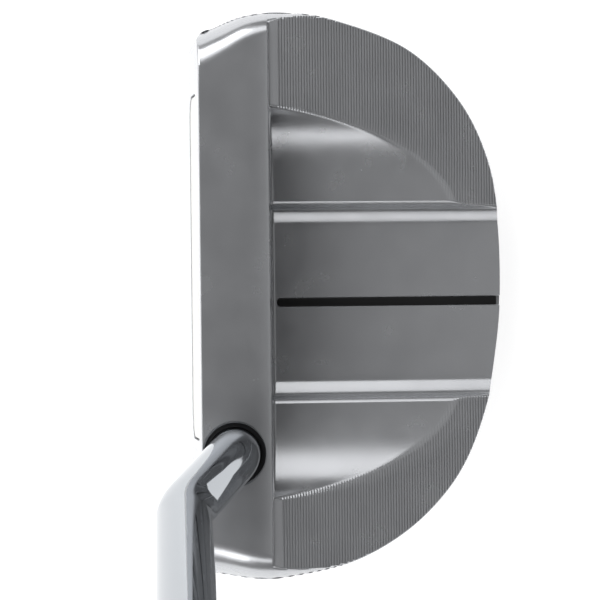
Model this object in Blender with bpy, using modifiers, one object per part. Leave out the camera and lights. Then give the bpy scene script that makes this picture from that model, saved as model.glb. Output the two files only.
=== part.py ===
"""Mallet putter, right-handed, 35 inches long.

Frame: +X runs to the heel and the golfer, -X to the toe, -Y to the target, +Y to the
rear of the head and +Z up. The origin is the middle of the flat sole.
"""

import math

import bmesh
import bpy
from mathutils import Matrix, Vector

MM = 0.001
GAP = 0.3 * MM
THIN_GAP = 0.1 * MM
# How far a cutter reaches past the metal it opens, over the head and to its sides
PAST = 1.0 * MM
OVER_Z = 45 * MM
OVER_SIDE = 70 * MM

# Head, outside
TOP_Z = 24.0 * MM
LOFT = math.radians(3.5)
FACE_TOP_Y = -26.4 * MM
TOPLINE_REAR_Y = -14.0 * MM
WALL_DRAFT = math.radians(4.0)
ROLL_Y = -18.8 * MM
ROLL_DROP = 0.35 * MM
CORNER_RADIUS = 2.8 * MM
# The plan outline from the toe's front corner round the rear to the heel's front corner
OUTLINE_MM = (
    (-48.9, -24.0), (-51.0, -18.5), (-51.7, -11.5), (-50.4, -1.7), (-45.4, 11.6),
    (-36.2, 21.2), (-25.2, 26.5), (-13.6, 28.3), (0.0, 28.5), (9.9, 27.5),
    (18.7, 25.8), (28.4, 22.1), (35.6, 17.1), (41.9, 9.9), (46.5, 0.8),
    (49.0, -10.5), (49.3, -16.5), (48.2, -24.0),
)
MIDDLE = (-1.5 * MM, -3.0 * MM)
# The skirt from the sole up: how far it is tucked in, and its height
SKIRT_MM = ((6.5, 0.0), (3.6, 0.7), (1.7, 2.4), (0.6, 5.5))
SHOULDER_Y = (-26.0 * MM, -13.0 * MM)
SHOULDER_TURN = 80
SHOULDER_FRONT = {"toe": 5.9 * MM, "heel": 6.4 * MM}
SHOULDER_REAR = {"toe": 4.2 * MM, "heel": 5.2 * MM}
SHOULDER_RISE = 1.15
FACE_RIM = 0.4 * MM

# Head, relief behind the topline
MILLED_DROP = 1.1 * MM
MILLED_SLOPE = 0.279
FLOOR_SLOPE = 0.079
MEET_Y = 21.95 * MM
CHANNEL_DEPTH = 3.0 * MM
# The channel's side from its floor up to the ridge: x, and height over the pocket floor
CHANNEL_SIDE_MM = ((14.1, -3.0), (14.9, -2.79), (16.4, -2.05), (16.95, -1.45), (17.52, -0.3),
                   (18.15, 0.0))
TROUGH_CENTRE = 14.7 * MM
TROUGH_HALF_WIDTH = 20.5 * MM
TROUGH_HEIGHT = 8.9 * MM
RELIEF_REAR_Y = 40.0 * MM
LINE_WIDTH = 1.65 * MM
LINE_DEPTH = 0.8 * MM
LINE_FRONT_Y = -12.4 * MM
LINE_REAR_Y = 28.0 * MM
LINE_SINK = 0.15 * MM

# Face insert, in the plane of the face: x to the heel and y up the face
INSERT_TOE = -37.5 * MM
INSERT_HEEL = 24.5 * MM
INSERT_BOTTOM = 3.6 * MM
INSERT_TOP = 21.6 * MM
INSERT_CORNER = 4.5 * MM
INSERT_SKIN = 1.2 * MM
INSERT_CORE = 2.2 * MM
INSERT_TAPE = 0.25 * MM
CORE_INSET = 2.8 * MM

# Sole
PLATE_HALF_WIDTH = 28.0 * MM
PLATE_FRONT = -12.5 * MM
PLATE_REAR = 22.5 * MM
PLATE_LEDGE = 4.9 * MM
PLATE_THICK = 1.4 * MM
GASKET_THICK = 0.5 * MM
FASTENER_SINK = 0.3 * MM
CEILING = 2.8 * MM
BAR_HOLLOW = ((-38.0 * MM, 16.5 * MM), (-20.0 * MM, -16.2 * MM), 20.6 * MM)
WEIGHT_SPOTS = {"toe": (-37.4 * MM, -4.0 * MM), "heel": (36.4 * MM, -4.0 * MM)}
WEIGHT_FLANGE_R = 6.4 * MM
WEIGHT_BODY_R = 5.0 * MM
WEIGHT_TOP_Z = 9.4 * MM
WEIGHT_STEP_Z = 2.9 * MM
WEIGHT_FLANGE_Z = 1.8 * MM
WEIGHT_BEVEL = 0.4 * MM
WEIGHT_SOCKET = (2.3 * MM, 3.6 * MM)
PASSAGE = ((-19.0 * MM, 16.0 * MM), 2.5 * MM, 9.0 * MM)
SCREW_INSET = 2.7 * MM
SCREW_HOLE = (1.3 * MM, 7.2 * MM)
SCREW_HEAD_R = 2.1 * MM
SCREW_SHANK_R = 1.0 * MM
SCREW_TOP_Z = 6.6 * MM
SCREW_CONE_Z = (0.35 * MM, 1.35 * MM)
SCREW_SINK = 0.1 * MM
SCREW_SOCKET = (0.75 * MM, 1.1 * MM)
PLATE_FRONT_CORNER = 7.0 * MM
PLATE_REAR_CORNER = 15.0 * MM

# Shaft and hole
HOLE_X = 26.7 * MM
HOLE_Y = -20.55 * MM
HOLE_R = 5.5 * MM
RING_DEPTH = 4.0 * MM
BORE_R = 5.0 * MM
BORE_BOTTOM_Z = 7.0 * MM
LIE = math.radians(70)
SHAFT_OFFSET = 9.4 * MM
TIP_R = 4.7 * MM
BUTT_R = 7.6 * MM
TUBE_WALL = 0.6 * MM
TIP_Z = 7.6 * MM
CLUB_LENGTH = 889.0 * MM

# Grip
GRIP_LENGTH = 268.0 * MM
GRIP_BUTT_R = 15.5 * MM
GRIP_MOUTH_R = 10.6 * MM
GRIP_FLAT_DEPTH = 2.9 * MM
GRIP_MOUTH_FLAT_DEPTH = 1.1 * MM

STEEL = (0.56, 0.57, 0.59)
CHROME = (0.78, 0.79, 0.81)
WHITE = (0.86, 0.86, 0.84)
CREAM = (0.72, 0.66, 0.52)
BLACK = (0.012, 0.012, 0.013)
CHARCOAL = (0.045, 0.045, 0.05)
TAPE = (0.62, 0.56, 0.44)
AMBER = (0.45, 0.28, 0.08)
CORK = (0.50, 0.33, 0.18)


def material(name, colour, roughness, metallic=0.0):
    made = bpy.data.materials.new(name)
    made.use_nodes = True
    shader = made.node_tree.nodes["Principled BSDF"]
    shader.inputs["Base Color"].default_value = (*colour, 1)
    shader.inputs["Roughness"].default_value = roughness
    shader.inputs["Metallic"].default_value = metallic
    return made


def add_object(name, data, collection, finish=None):
    obj = bpy.data.objects.new(name, data)
    collection.objects.link(obj)
    if finish:
        data.materials.append(finish)
    return obj


def mesh_object(name, bm, collection, finish=None):
    bmesh.ops.recalc_face_normals(bm, faces=bm.faces)
    mesh = bpy.data.meshes.new(name)
    bm.to_mesh(mesh)
    bm.free()
    return add_object(name, mesh, collection, finish)


def as_cutter(obj):
    obj.hide_render = True
    obj.display_type = "WIRE"
    return obj


def boolean(target, other, solver="EXACT"):
    modifier = target.modifiers.new(other.name, "BOOLEAN")
    modifier.solver = solver
    modifier.object = other


def smooth(obj, angle=30):
    obj.data.shade_smooth()
    obj.data.set_sharp_from_angle(angle=math.radians(angle))


def curve_to_mesh(obj, collection):
    """Replace a curve object by a mesh of the same shape, with its caps welded on."""
    bpy.context.view_layer.update()
    evaluated = obj.evaluated_get(bpy.context.evaluated_depsgraph_get())
    mesh = bpy.data.meshes.new_from_object(evaluated)
    bm = bmesh.new()
    bm.from_mesh(mesh)
    bmesh.ops.remove_doubles(bm, verts=bm.verts, dist=1e-6)
    bm.to_mesh(mesh)
    bm.free()
    name, place = obj.name, obj.matrix_world.copy()
    bpy.data.objects.remove(obj)
    made = bpy.data.objects.new(name, mesh)
    collection.objects.link(made)
    made.matrix_world = place
    return made


def flat_prism(name, outline, low, high, collection, finish=None):
    """A flat outline given thickness from low to high along the curve's own normal."""
    curve = bpy.data.curves.new(name, "CURVE")
    curve.dimensions = "2D"
    curve.fill_mode = "BOTH"
    curve.extrude = (high - low) / 2
    spline = curve.splines.new("POLY")
    spline.points.add(len(outline) - 1)
    for point, (x, y) in zip(spline.points, outline):
        point.co = (x, y, (low + high) / 2, 1)
    spline.use_cyclic_u = True
    made = curve_to_mesh(add_object(name, curve, collection), collection)
    if finish:
        made.data.materials.append(finish)
    return made


def turned(name, profile, collection, finish=None, steps=32):
    """A closed profile of (radius, height) turned about Z with a Screw modifier."""
    bm = bmesh.new()
    points = [bm.verts.new((radius, 0, height)) for radius, height in profile]
    pairs = list(zip(points, points[1:]))
    if profile[0][0] > 0 and profile[-1][0] > 0:
        pairs.append((points[-1], points[0]))
    for start, end in pairs:
        bm.edges.new((start, end))
    mesh = bpy.data.meshes.new(name)
    bm.to_mesh(mesh)
    bm.free()
    obj = add_object(name, mesh, collection, finish)
    screw = obj.modifiers.new("turn", "SCREW")
    screw.steps = screw.render_steps = steps
    screw.use_merge_vertices = True
    screw.merge_threshold = 1e-5
    return obj


def arc(centre, radius, start, end, count):
    """Points on a circle from one angle to another, in degrees, both ends included."""
    angles = [math.radians(start + (end - start) * i / (count - 1)) for i in range(count)]
    return [(centre[0] + radius * math.cos(a), centre[1] + radius * math.sin(a)) for a in angles]


def catmull_rom(points, steps):
    """A smooth line through the points, with the given number of steps between two."""
    ends = [2 * points[0] - points[1], *points, 2 * points[-1] - points[-2]]
    line = []
    for before, start, end, after in zip(ends, ends[1:], ends[2:], ends[3:]):
        for step in range(steps):
            t = step / steps
            line.append(0.5 * (2 * start + (end - before) * t
                               + (2 * before - 5 * start + 4 * end - after) * t * t
                               + (3 * start - before - 3 * end + after) * t ** 3))
    line.append(points[-1])
    return line


def blend(value, low, high):
    """0 below low, 1 above high and smooth between them."""
    t = min(max((value - low) / (high - low), 0), 1)
    return t * t * (3 - 2 * t)


# The head's surfaces as heights over the plan

def milled_z(y):
    """The milled plane of the two crescents, which falls to the rear."""
    return TOP_Z - MILLED_DROP - MILLED_SLOPE * (y - TOPLINE_REAR_Y)


def floor_z(y):
    """The floor line of the side pockets, which meets the milled plane at MEET_Y."""
    return milled_z(MEET_Y) - FLOOR_SLOPE * (y - MEET_Y)


def topline_z(y):
    """The topline is flat behind the face and rolls down a little to its rear edge."""
    share = max(y - ROLL_Y, 0) / (TOPLINE_REAR_Y - ROLL_Y)
    return TOP_Z - ROLL_DROP * share * share


def trough_height(x):
    """The side pocket's elliptical wall, as height over its floor line."""
    share = min((x - TROUGH_CENTRE) / TROUGH_HALF_WIDTH, 1)
    return TROUGH_HEIGHT * (1 - math.sqrt(1 - share * share))


def relief_section(y):
    """Points (x, z) across the head: side pocket, ridge, channel, ridge, side pocket."""
    half = [(x * MM, height * MM) for x, height in CHANNEL_SIDE_MM]
    for turn in (12, 24, 36, 47, 58, 68, 76, 83):
        x = TROUGH_CENTRE + TROUGH_HALF_WIDTH * math.sin(math.radians(turn))
        half.append((x, trough_height(x)))
    lip = TROUGH_CENTRE + TROUGH_HALF_WIDTH + 0.3 * MM
    half.append((lip, 2 * TROUGH_HEIGHT))
    raised = [(x, floor_z(y) + height) for x, height in half]
    return [(-x, z) for x, z in reversed(raised)] + raised


def milled_section(y):
    return [(-OVER_SIDE, milled_z(y)), (OVER_SIDE, milled_z(y))]


# The head's rim: rings of points round the plan outline

def face_y(z):
    return FACE_TOP_Y - (TOP_Z - z) * math.tan(LOFT)


def plan_outline(steps):
    """The whole closed plan outline at the top of the face, and how much of each point
    is face: 1 on the face, 0 on the sides and 0 to 1 round the two front corners."""
    side = catmull_rom([Vector(p) * MM for p in OUTLINE_MM], steps)
    points, face = list(side), [0.0] * len(side)
    heel, toe = side[-1], side[0]
    front = FACE_TOP_Y
    corner_steps = 2 + steps // 2
    for corner, sign, order in ((heel, 1, 1), (toe, -1, -1)):
        bend = Vector((corner.x - sign * 0.1 * CORNER_RADIUS, front))
        end = Vector((corner.x - sign * CORNER_RADIUS, front))
        turn = []
        for i in range(1, corner_steps + 1):
            t = i / corner_steps
            turn.append(((1 - t) ** 2 * corner + 2 * t * (1 - t) * bend + t * t * end, t))
        if order > 0:
            along = [(end.lerp(Vector((-end.x, front)), i / 8), 1.0) for i in range(1, 8)]
            turn += along
        else:
            turn.reverse()
        points += [p for p, _ in turn]
        face += [f for _, f in turn]
    return points, face


def ring(points, face, inset, height):
    """The outline drawn in towards the middle of the plan; inset and height take a point
    and its share of face, and both give metres."""
    middle = Vector(MIDDLE)
    made = []
    for point, share in zip(points, face):
        z = height(point, share)
        inward = (middle - point).normalized()
        moved = point + inward * inset(point, share)
        lean = face_y(z) - FACE_TOP_Y
        made.append(Vector((moved.x, moved.y + lean * share, z)))
    return made


def rim_width(point, share):
    """The rolled shoulder is widest by the face, and the face's own rim is narrow."""
    end = "toe" if point.x < 0 else "heel"
    rear = blend(point.y, *SHOULDER_Y)
    side = SHOULDER_FRONT[end] * (1 - rear) + SHOULDER_REAR[end] * rear
    return side * (1 - share) + FACE_RIM * share


def head_shell(steps, arc_steps):
    """The head before its top is milled: sole, skirt, face and rounded rim."""
    points, face = plan_outline(steps)

    def tucked(amount):
        return lambda point, share: amount * (1 - share) + 0.02 * amount * share

    def at(z):
        return lambda point, share: z

    rings = [ring(points, face, tucked(inset * MM), at(height * MM))
             for inset, height in SKIRT_MM]
    for i in range(arc_steps + 1):
        turn = math.radians(SHOULDER_TURN * i / arc_steps)
        rings.append(ring(
            points, face,
            lambda p, f, a=turn: rim_width(p, f) * (1 - math.cos(a)),
            lambda p, f, a=turn: TOP_Z - SHOULDER_RISE * rim_width(p, f) * (1 - math.sin(a))))
    rings.append([v + Vector((0, 0, 6 * MM)) for v in rings[-1]])
    bm = bmesh.new()
    loops = [[bm.verts.new(v) for v in loop] for loop in rings]
    count = len(points)
    for lower, upper in zip(loops, loops[1:]):
        for i in range(count):
            j = (i + 1) % count
            bm.faces.new((lower[i], lower[j], upper[j], upper[i]))
    bm.faces.new(loops[0])
    bm.faces.new(loops[-1])
    return bm


def rear_cutter(name, section_at, collection):
    """All that is over a surface swept to the rear from the topline's drafted wall. The
    surface is given as its points (x, z) at a y."""
    draft = math.tan(WALL_DRAFT)
    bm = bmesh.new()
    front, rear = [], []
    for (x, z), (_, far_z) in zip(section_at(TOPLINE_REAR_Y), section_at(RELIEF_REAR_Y)):
        front.append(bm.verts.new((x, TOPLINE_REAR_Y + (TOP_Z - z) * draft, z)))
        rear.append(bm.verts.new((x, RELIEF_REAR_Y, far_z)))
    for loop, y in ((front, TOPLINE_REAR_Y - (OVER_Z - TOP_Z) * draft), (rear, RELIEF_REAR_Y)):
        for x in (loop[-1].co.x, loop[0].co.x):
            loop.append(bm.verts.new((x, y, OVER_Z)))
    bm.faces.new(front)
    bm.faces.new(rear)
    for i in range(len(front)):
        j = (i + 1) % len(front)
        bm.faces.new((front[i], front[j], rear[j], rear[i]))
    bmesh.ops.triangulate(bm, faces=[f for f in bm.faces if len(f.verts) > 4])
    return as_cutter(mesh_object(name, bm, collection))


def crown_cutter(collection):
    """All that is over the topline's crown."""
    low, high = FACE_TOP_Y - 6 * PAST, TOPLINE_REAR_Y + PAST
    steps = 8
    ys = [low + (high - low) * i / steps for i in range(steps + 1)]
    outline = [(y, topline_z(y)) for y in ys] + [(high, OVER_Z), (low, OVER_Z)]
    obj = flat_prism("crown_cutter", outline, -OVER_SIDE, OVER_SIDE, collection)
    obj.matrix_world = Matrix(((0, 0, 1, 0), (1, 0, 0, 0), (0, 1, 0, 0), (0, 0, 0, 1)))
    return as_cutter(obj)


def rounded_box(left, right, bottom, top, radii, steps):
    """A closed outline with its own radius at each corner: bottom right, top right,
    top left and bottom left."""
    corners = ((right, bottom, -1, 1, -90), (right, top, -1, -1, 0),
               (left, top, 1, -1, 90), (left, bottom, 1, 1, 180))
    outline = []
    for (x, y, dx, dy, start), radius in zip(corners, radii):
        outline += arc((x + dx * radius, y + dy * radius), radius, start, start + 90, steps)
    return outline


def insert_outline(inset):
    corner = INSERT_CORNER - inset / 2
    radii = (corner, corner, 1.5 * corner, corner)
    return rounded_box(INSERT_TOE + inset, INSERT_HEEL - inset,
                       INSERT_BOTTOM + inset, INSERT_TOP - inset, radii, 7)


def on_face(obj):
    """Place a piece that is drawn in the plane of the face."""
    obj.matrix_world = (Matrix.Translation((0, face_y(0), 0))
                        @ Matrix.Rotation(math.pi / 2 - LOFT, 4, "X"))
    return obj


def plate_outline(inset):
    """The sole plate: straight at the front and rounded to the rear."""
    front, rear = PLATE_FRONT_CORNER - inset, PLATE_REAR_CORNER - inset
    return rounded_box(inset - PLATE_HALF_WIDTH, PLATE_HALF_WIDTH - inset,
                       PLATE_FRONT + inset, PLATE_REAR - inset,
                       (front, rear, rear, front), 7)


def screw_spots():
    """Where the plate's four screws go: on the ledge, at the middle of each corner."""
    spots = []
    for radius, y, away in ((PLATE_FRONT_CORNER, PLATE_FRONT, 1),
                            (PLATE_REAR_CORNER, PLATE_REAR, -1)):
        reach = (radius - SCREW_INSET) / math.sqrt(2)
        x = PLATE_HALF_WIDTH - radius + reach
        spots += [(side * x, y + away * (radius - reach)) for side in (-1, 1)]
    return spots


def cylinder(name, radius, low, high, spot, collection, finish=None, sides=32):
    bm = bmesh.new()
    bmesh.ops.create_cone(bm, cap_ends=True, segments=sides, radius1=radius,
                          radius2=radius, depth=high - low)
    obj = mesh_object(name, bm, collection, finish)
    obj.location = (*spot, (low + high) / 2)
    return obj


def box(name, low, high, collection):
    bm = bmesh.new()
    bmesh.ops.create_cube(bm, size=1.0)
    obj = mesh_object(name, bm, collection)
    obj.scale = [b - a for a, b in zip(low, high)]
    obj.location = [(a + b) / 2 for a, b in zip(low, high)]
    return obj


def line_outline(width, front, rear):
    """The alignment line: round at the front end, open at the rear."""
    half = width / 2
    return [(half, rear), *arc((0, front + half), half, 0, -180, 9), (-half, rear)]


def along_floor(obj):
    """Lay a piece that is drawn flat on the sloping channel floor."""
    slope = Matrix.Rotation(-math.atan(FLOOR_SLOPE), 4, "X")
    level = floor_z(0) - CHANNEL_DEPTH
    obj.matrix_world = Matrix.Translation((0, 0, level)) @ slope
    return obj


def build_head(parts, cutters, finishes):
    head = mesh_object("head_body", head_shell(3, 5), parts, finishes["steel"])
    # With the exact solver on these three cuts the head is left with open edges
    for cutter in (rear_cutter("pocket_cutter", relief_section, cutters),
                   rear_cutter("milling_cutter", milled_section, cutters),
                   crown_cutter(cutters)):
        boolean(head, cutter, solver="MANIFOLD")
    skin_depth = INSERT_SKIN + 2 * THIN_GAP
    full_depth = skin_depth + INSERT_CORE + INSERT_TAPE + 3 * THIN_GAP
    skin = flat_prism("insert_cutter", insert_outline(-GAP / 2), -skin_depth, 3 * PAST, cutters)
    core = flat_prism("insert_core_cutter", insert_outline(CORE_INSET - GAP / 2),
                      -full_depth, PAST, cutters)
    for pocket in (skin, core):
        boolean(head, as_cutter(on_face(pocket)))
    line = flat_prism("line_cutter", line_outline(LINE_WIDTH, LINE_FRONT_Y, RELIEF_REAR_Y),
                      -LINE_DEPTH, PAST, cutters)
    boolean(head, as_cutter(along_floor(line)))
    hole = (HOLE_X, HOLE_Y)
    for name, radius, low in (("ring_cutter", HOLE_R, TOP_Z - RING_DEPTH),
                              ("bore_cutter", BORE_R, BORE_BOTTOM_Z)):
        boolean(head, as_cutter(cylinder(name, radius, low, TOP_Z + 5 * PAST, hole, cutters)))
    build_sole_cutters(head, cutters)
    smooth(head)
    return head


def gasket_z():
    low = PLATE_THICK + GAP
    return low, low + GASKET_THICK


def build_sole_cutters(head, cutters):
    ledge = gasket_z()[1] + GAP
    recess = flat_prism("plate_cutter", plate_outline(-GAP), -PAST, ledge, cutters)
    boolean(head, as_cutter(recess))
    cavity = flat_prism("cavity_cutter", plate_outline(PLATE_LEDGE), 0, 30 * MM, cutters)
    for vert in cavity.data.vertices:
        if vert.co.z > ledge:
            vert.co.z = floor_z(vert.co.y) - CHANNEL_DEPTH - CEILING
        else:
            vert.co.z = ledge - PAST
    boolean(head, as_cutter(cavity))
    (left, right), (front, rear), top = BAR_HOLLOW
    tall = box("bar_hollow_cutter", (left, front, ledge + 2 * MM), (right, rear, top), cutters)
    boolean(head, as_cutter(tall))
    (left, right), rise, roof = PASSAGE
    passage = box("passage_cutter", (left, front + PAST, ledge + rise), (right, 0.0, roof),
                  cutters)
    boolean(head, as_cutter(passage))
    for side, spot in WEIGHT_SPOTS.items():
        port = turned(f"{side}_port_cutter", port_profile(), cutters)
        port.location = (*spot, 0)
        boolean(head, as_cutter(port))
    for number, spot in enumerate(screw_spots(), 1):
        radius, top = SCREW_HOLE
        hole = cylinder(f"screw_cutter_{number}", radius, PAST, top, spot, cutters, sides=16)
        boolean(head, as_cutter(hole))


def port_profile():
    """The stepped hole of a sole weight, from the top of its axis down to the mouth."""
    body, flange = WEIGHT_BODY_R + GAP, WEIGHT_FLANGE_R + GAP
    return [(0, WEIGHT_TOP_Z + GAP), (body, WEIGHT_TOP_Z + GAP), (body, WEIGHT_STEP_Z),
            (flange, WEIGHT_STEP_Z), (flange, -PAST), (0, -PAST)]


def build_insert(parts, finishes):
    back = -(INSERT_SKIN + THIN_GAP)
    core_back = back - THIN_GAP - INSERT_CORE
    layers = (("insert_face", 0.0, back, -THIN_GAP, "white"),
              ("insert_core", CORE_INSET, core_back, back - THIN_GAP, "cream"),
              ("insert_tape", CORE_INSET, core_back - THIN_GAP - INSERT_TAPE,
               core_back - THIN_GAP, "tape"))
    for name, inset, low, high, finish in layers:
        outline = insert_outline(inset + GAP / 2)
        on_face(flat_prism(name, outline, low, high, parts, finishes[finish]))


def build_line(parts, finishes):
    paint = flat_prism("alignment_paint",
                       line_outline(LINE_WIDTH - GAP, LINE_FRONT_Y + GAP / 2, LINE_REAR_Y),
                       -LINE_DEPTH + THIN_GAP, -LINE_SINK, parts, finishes["black"])
    along_floor(paint)


def build_sole(parts, cutters, finishes):
    plate = flat_prism("sole_plate", plate_outline(0.0), 0.0, PLATE_THICK, parts,
                       finishes["plate"])
    low, high = gasket_z()
    gasket = flat_prism("sole_plate_gasket", plate_outline(GAP), low, high,
                        parts, finishes["charcoal"])
    window = flat_prism("gasket_cutter", plate_outline(PLATE_LEDGE - GAP),
                        low - PAST, high + PAST, cutters)
    boolean(gasket, as_cutter(window))
    bosses = []
    for number, place in enumerate(screw_spots(), 1):
        spot = (*place, 0)
        sink = turned(f"countersink_{number}", screw_profile(GAP, GAP), cutters, steps=16)
        sink.location = spot
        boolean(plate, as_cutter(sink))
        clear = cylinder(f"gasket_hole_{number}", SCREW_HOLE[0], low - PAST / 2, high + PAST,
                         place, cutters, sides=16)
        boolean(gasket, as_cutter(clear))
        screw = turned(f"sole_plate_screw_{number}", screw_profile(0.0, 0.0), parts,
                       finishes["dark_steel"], steps=16)
        screw.location = spot
        smooth(screw)
        bosses.append(screw)
    for number, screw in enumerate(bosses, 1):
        radius, depth = SCREW_SOCKET
        socket = cylinder(f"screw_socket_{number}", radius, 0, depth, screw.location[:2],
                          cutters, sides=6)
        boolean(screw, as_cutter(socket))
    for side, spot in WEIGHT_SPOTS.items():
        build_weight(side, spot, parts, cutters, finishes)


def screw_profile(clearance, below):
    """A countersunk screw head and shank, from the top of its axis down."""
    head, shank = SCREW_HEAD_R + clearance, SCREW_SHANK_R + clearance
    top = SCREW_TOP_Z + clearance
    foot = SCREW_SINK - below
    wide, narrow = SCREW_CONE_Z
    return [(0, top), (shank, top), (shank, narrow), (head, wide), (head, foot), (0, foot)]


def build_weight(side, spot, parts, cutters, finishes):
    profile = [(0, WEIGHT_TOP_Z), (WEIGHT_BODY_R - WEIGHT_BEVEL, WEIGHT_TOP_Z),
               (WEIGHT_BODY_R, WEIGHT_TOP_Z - WEIGHT_BEVEL), (WEIGHT_BODY_R, WEIGHT_FLANGE_Z),
               (WEIGHT_FLANGE_R, WEIGHT_FLANGE_Z),
               (WEIGHT_FLANGE_R, FASTENER_SINK + WEIGHT_BEVEL),
               (WEIGHT_FLANGE_R - WEIGHT_BEVEL, FASTENER_SINK), (0, FASTENER_SINK)]
    weight = turned(f"{side}_weight", profile, parts, finishes["weight"])
    radius, depth = WEIGHT_SOCKET
    socket = cylinder(f"{side}_weight_socket", radius, -PAST, depth, spot, cutters, sides=6)
    boolean(weight, as_cutter(socket))
    low, high = WEIGHT_FLANGE_Z + GAP, WEIGHT_STEP_Z - GAP
    inner, outer = WEIGHT_BODY_R + GAP, WEIGHT_FLANGE_R - GAP
    washer = turned(f"{side}_weight_washer",
                    [(outer, high), (outer, low), (inner, low), (inner, high)],
                    parts, finishes["black"])
    for obj in (weight, washer):
        obj.location = (*spot, 0)
        smooth(obj)


def shaft_direction():
    return Vector((math.cos(LIE), 0, math.sin(LIE)))


def shaft_axis(distance):
    """The point of the straight upper shaft at this distance from the ground."""
    up = shaft_direction()
    foot = Vector((HOLE_X, HOLE_Y - SHAFT_OFFSET, TOP_Z))
    return foot + up * (distance - TOP_Z / up.z)


def shaft_route():
    """The centre line of the shaft: straight up out of the hole, two bends, straight."""
    tip = Vector((HOLE_X, HOLE_Y, TIP_Z))
    corners = [tip, Vector((HOLE_X, HOLE_Y, TOP_Z + 3.5 * MM)), shaft_axis(50 * MM),
               shaft_axis(CLUB_LENGTH - 3 * MM)]
    route = [corners[0]]
    for before, corner, after, radius in ((*corners[:3], 15 * MM), (*corners[1:], 18 * MM)):
        into, out = (corner - before).normalized(), (after - corner).normalized()
        turn = into.angle(out)
        reach = radius * math.tan(turn / 2)
        centre = corner + (out - into).normalized() * (radius / math.cos(turn / 2))
        axis = into.cross(out).normalized()
        start = corner - into * reach - centre
        for i in range(9):
            route.append(centre + Matrix.Rotation(turn * i / 8, 3, axis) @ start)
    route.append(corners[-1])
    return route


def shaft_radius(length):
    """The tube grows steadily from the tip to the butt."""
    share = max(length - 25 * MM, 0) / (CLUB_LENGTH - 25 * MM)
    return TIP_R + (BUTT_R - TIP_R) * share


def swept_tube(name, route, radii, collection, sides_level=4):
    curve = bpy.data.curves.new(name, "CURVE")
    curve.dimensions = "3D"
    curve.bevel_depth = 1.0
    curve.bevel_resolution = sides_level
    curve.use_fill_caps = True
    curve.twist_mode = "MINIMUM"
    spline = curve.splines.new("POLY")
    spline.points.add(len(route) - 1)
    for point, place, radius in zip(spline.points, route, radii):
        point.co = (*place, 1)
        point.radius = radius
    return curve_to_mesh(add_object(name, curve, collection), collection)


def build_shaft(parts, cutters, finishes):
    route = shaft_route()
    lengths = [0.0]
    for start, end in zip(route, route[1:]):
        lengths.append(lengths[-1] + (end - start).length)
    radii = [shaft_radius(length) for length in lengths]
    shaft = swept_tube("shaft", route, radii, parts)
    shaft.data.materials.append(finishes["chrome"])
    inside = list(route)
    inside[0] = route[0] - Vector((0, 0, 2 * MM))
    inside[-1] = route[-1] + shaft_direction() * 2 * MM
    bore = swept_tube("shaft_bore", inside, [r - TUBE_WALL for r in radii], cutters)
    boolean(shaft, as_cutter(bore))
    smooth(shaft, 40)
    hole = (HOLE_X, HOLE_Y)
    top = TOP_Z - 0.5 * MM
    ring_inner = TIP_R + 0.1 * MM
    ring_outer = HOLE_R - 0.1 * MM
    ring_low = TOP_Z - RING_DEPTH + 0.2 * MM
    profile = [(ring_outer, top), (ring_outer, ring_low), (ring_inner, ring_low),
               (ring_inner, top)]
    ring_piece = turned("shaft_ring", profile, parts, finishes["black"])
    glue_outer, glue_inner = BORE_R - 0.05 * MM, TIP_R + 0.05 * MM
    glue_top, glue_low = TOP_Z - RING_DEPTH - 0.1 * MM, TIP_Z
    glue = turned("shaft_adhesive",
                  [(glue_outer, glue_top), (glue_outer, glue_low), (glue_inner, glue_low),
                   (glue_inner, glue_top)], parts, finishes["amber"])
    plug = cylinder("shaft_tip_plug", TIP_R - TUBE_WALL - GAP, TIP_Z + 0.4 * MM,
                    TIP_Z + 9 * MM, hole, parts, finishes["cork"], sides=24)
    for obj in (ring_piece, glue):
        obj.location = (*hole, 0)
    for obj in (ring_piece, glue, plug):
        smooth(obj)


def grip_frame(distance):
    """Axes along the upper shaft: local Z up the shaft and local -Y to the target."""
    up = shaft_direction()
    side = Vector((0, 1, 0)).cross(up).normalized()
    turn = Matrix((side, Vector((0, 1, 0)), up)).transposed().to_4x4()
    return Matrix.Translation(shaft_axis(distance)) @ turn


def grip_section(radius, flat, sides):
    """A round grip with a flat for the thumbs on the golfer's upper side, local -X."""
    points = []
    for i in range(sides):
        angle = 2 * math.pi * i / sides
        x, y = radius * math.cos(angle), radius * math.sin(angle)
        points.append((max(x, -flat), y))
    return points


def lofted_sleeve(name, stations, hole, parts, cutters, finish, sides=32):
    """A sleeve along local Z whose section changes at each station (z, radius, flat)."""
    bm = bmesh.new()
    loops = []
    for z, radius, flat in stations:
        loops.append([bm.verts.new((x, y, z)) for x, y in grip_section(radius, flat, sides)])
    for lower, upper in zip(loops, loops[1:]):
        for i in range(sides):
            j = (i + 1) % sides
            bm.faces.new((lower[i], lower[j], upper[j], upper[i]))
    bm.faces.new(loops[0])
    bm.faces.new(loops[-1])
    sleeve = mesh_object(name, bm, parts, finish)
    cutter_low, cutter_high, low_r, high_r = hole
    bm = bmesh.new()
    bmesh.ops.create_cone(bm, cap_ends=True, segments=sides, radius1=low_r, radius2=high_r,
                          depth=cutter_high - cutter_low)
    bmesh.ops.translate(bm, verts=bm.verts, vec=(0, 0, (cutter_low + cutter_high) / 2))
    cutter = mesh_object(f"{name}_cutter", bm, cutters)
    boolean(sleeve, as_cutter(cutter))
    return sleeve, cutter


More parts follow.
